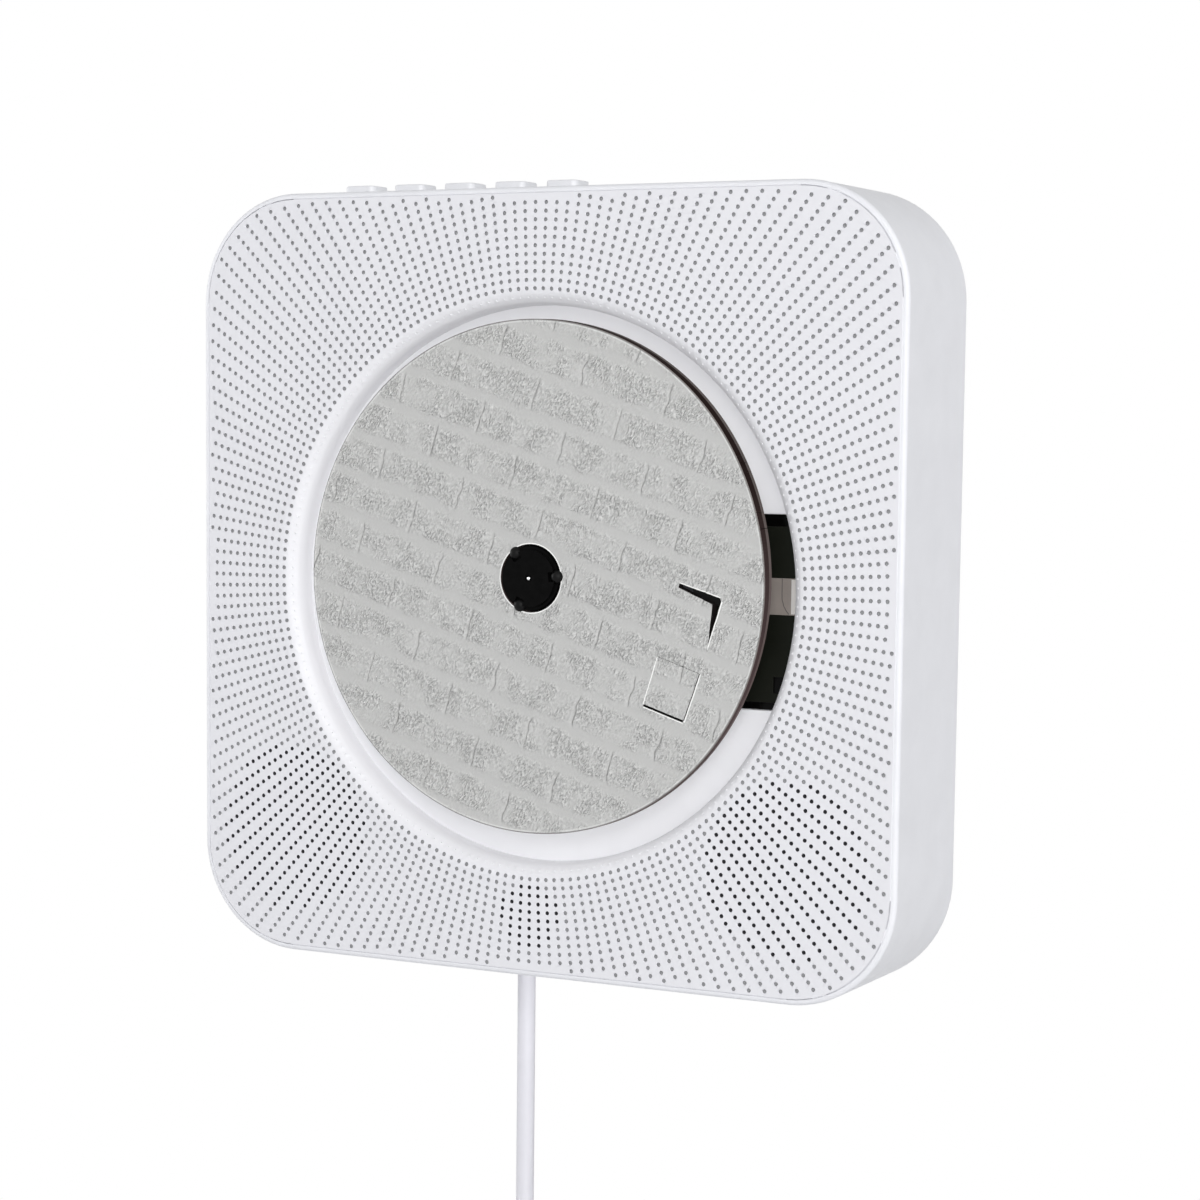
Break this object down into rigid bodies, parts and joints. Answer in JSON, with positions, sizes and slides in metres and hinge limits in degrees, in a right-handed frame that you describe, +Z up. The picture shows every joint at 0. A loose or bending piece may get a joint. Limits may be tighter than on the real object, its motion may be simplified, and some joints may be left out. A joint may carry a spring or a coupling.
{
  "type": "wall mounted disc player",
  "caption": "Square wall-mounted disc player with a perforated front, a recessed well with a paper disc on its hub, top buttons and a hanging pull lead.",
  "frame": {"origin": "centre of the wall plate's screw pattern, on the wall plane", "axes": "+Z up, -Y out of the wall towards the viewer (the perforated front faces -Y), +X to the viewer's right"},
  "size_m": [0.1844, 0.0424, 0.3669],
  "materials": {
    "white_plastic": "satin",
    "panel_plastic": "satin",
    "frame_plastic": "matte",
    "well_plastic": "satin",
    "deck_plastic": "satin",
    "window_plastic": "polished",
    "display_parts": "matte",
    "chassis_steel": "satin",
    "damper_rubber": "matte",
    "screw_steel": "brushed",
    "motor_steel": "brushed",
    "rod_steel": "polished",
    "hub_plastic": "satin",
    "ball_plastic": "satin",
    "ring_rubber": "matte",
    "disc_paper": "matte",
    "sled_plastic": "matte",
    "lens_glass": "polished",
    "gear_plastic": "satin",
    "pinion_brass": "satin",
    "speaker_steel": "satin",
    "cone_paper": "matte",
    "magnet_metal": "matte",
    "receiver_epoxy": "gloss",
    "circuit_board": "satin",
    "board_parts": "matte",
    "button_plastic": "satin",
    "switch_plastic": "matte",
    "cover_plastic": "matte",
    "plate_plastic": "matte",
    "lead_pvc": "satin",
    "tie_plastic": "matte",
    "plug_metal": "satin"
  },
  "bodies": {
    "wall_plate": {"wall_plate": "plate_plastic"},
    "player": {"housing": "white_plastic", "front_grille": "panel_plastic", "baffle": "frame_plastic", "disc_well": "well_plastic", "deck": "deck_plastic", "display_window": "window_plastic", "display_module": "display_parts", "chassis": "chassis_steel", "dampers": "damper_rubber", "chassis_screws": "screw_steel", "spindle_motor": "motor_steel", "guide_rods": "rod_steel", "sled_motor": "motor_steel", "speaker_frame_left": "speaker_steel", "speaker_frame_right": "speaker_steel", "speaker_cone_left": "cone_paper", "speaker_cone_right": "cone_paper", "speaker_magnet_left": "magnet_metal", "speaker_magnet_right": "magnet_metal", "receiver": "receiver_epoxy", "main_board": "circuit_board", "board_parts": "board_parts", "button_board": "circuit_board", "tact_switches": "switch_plastic", "switch_housing": "switch_plastic", "rear_cover": "cover_plastic", "cover_screws": "screw_steel"},
    "turntable": {"turntable": "hub_plastic", "hub_balls": "ball_plastic", "rubber_ring": "ring_rubber"},
    "disc": {"paper_disc": "disc_paper"},
    "sled": {"sled": "sled_plastic", "lens": "lens_glass"},
    "drive_gear": {"drive_gear": "gear_plastic"},
    "motor_pinion": {"motor_pinion": "pinion_brass"},
    "pull_switch": {"pull_sleeve": "white_plastic", "lead": "lead_pvc", "lead_coil": "lead_pvc", "lead_tie": "tie_plastic", "lead_tail": "lead_pvc", "plug_body": "white_plastic", "plug_shell": "plug_metal"},
    "button_1": {"button_1": "button_plastic"},
    "button_2": {"button_2": "button_plastic"},
    "button_3": {"button_3": "button_plastic"},
    "button_4": {"button_4": "button_plastic"},
    "button_5": {"button_5": "button_plastic"}
  },
  "joints": [
    {"name": "player_lift", "type": "slide", "parent": "wall_plate", "child": "player", "axis": [0, 0, 1], "range_m": [0, 0.008]},
    {"name": "turntable_spin", "type": "hinge", "parent": "player", "child": "turntable", "pos_m": [0, -0.0405, 0.002], "axis": [0, -1, 0], "continuous": true},
    {"name": "disc_lift_off", "type": "slide", "parent": "turntable", "child": "disc", "axis": [0, -1, 0], "range_m": [0, 0.015]},
    {"name": "sled_travel", "type": "slide", "parent": "player", "child": "sled", "axis": [1, 0, 0], "range_m": [0, 0.027]},
    {"name": "drive_gear_spin", "type": "hinge", "parent": "player", "child": "drive_gear", "pos_m": [0.0375, -0.0277, -0.027], "axis": [0, 1, 0], "range_deg": [-2, 224]},
    {"name": "pinion_spin", "type": "hinge", "parent": "player", "child": "motor_pinion", "pos_m": [0.0255, -0.0277, -0.027], "axis": [0, 1, 0], "range_deg": [-312, 3]},
    {"name": "pull_slide", "type": "slide", "parent": "player", "child": "pull_switch", "axis": [0, 0, -1], "range_m": [0, 0.004], "stiffness_N_per_m": 1500},
    {"name": "button_1_press", "type": "slide", "parent": "player", "child": "button_1", "axis": [0, 0, -1], "range_m": [0, 0.0008], "stiffness_N_per_m": 800},
    {"name": "button_2_press", "type": "slide", "parent": "player", "child": "button_2", "axis": [0, 0, -1], "range_m": [0, 0.0008], "stiffness_N_per_m": 800},
    {"name": "button_3_press", "type": "slide", "parent": "player", "child": "button_3", "axis": [0, 0, -1], "range_m": [0, 0.0008], "stiffness_N_per_m": 800},
    {"name": "button_4_press", "type": "slide", "parent": "player", "child": "button_4", "axis": [0, 0, -1], "range_m": [0, 0.0008], "stiffness_N_per_m": 800},
    {"name": "button_5_press", "type": "slide", "parent": "player", "child": "button_5", "axis": [0, 0, -1], "range_m": [0, 0.0008], "stiffness_N_per_m": 800}
  ],
  "couplings": [
    {"joint": "drive_gear_spin", "follows": "sled_travel", "rad_per_m": 142.86},
    {"joint": "pinion_spin", "follows": "sled_travel", "rad_per_m": -200}
  ]
}
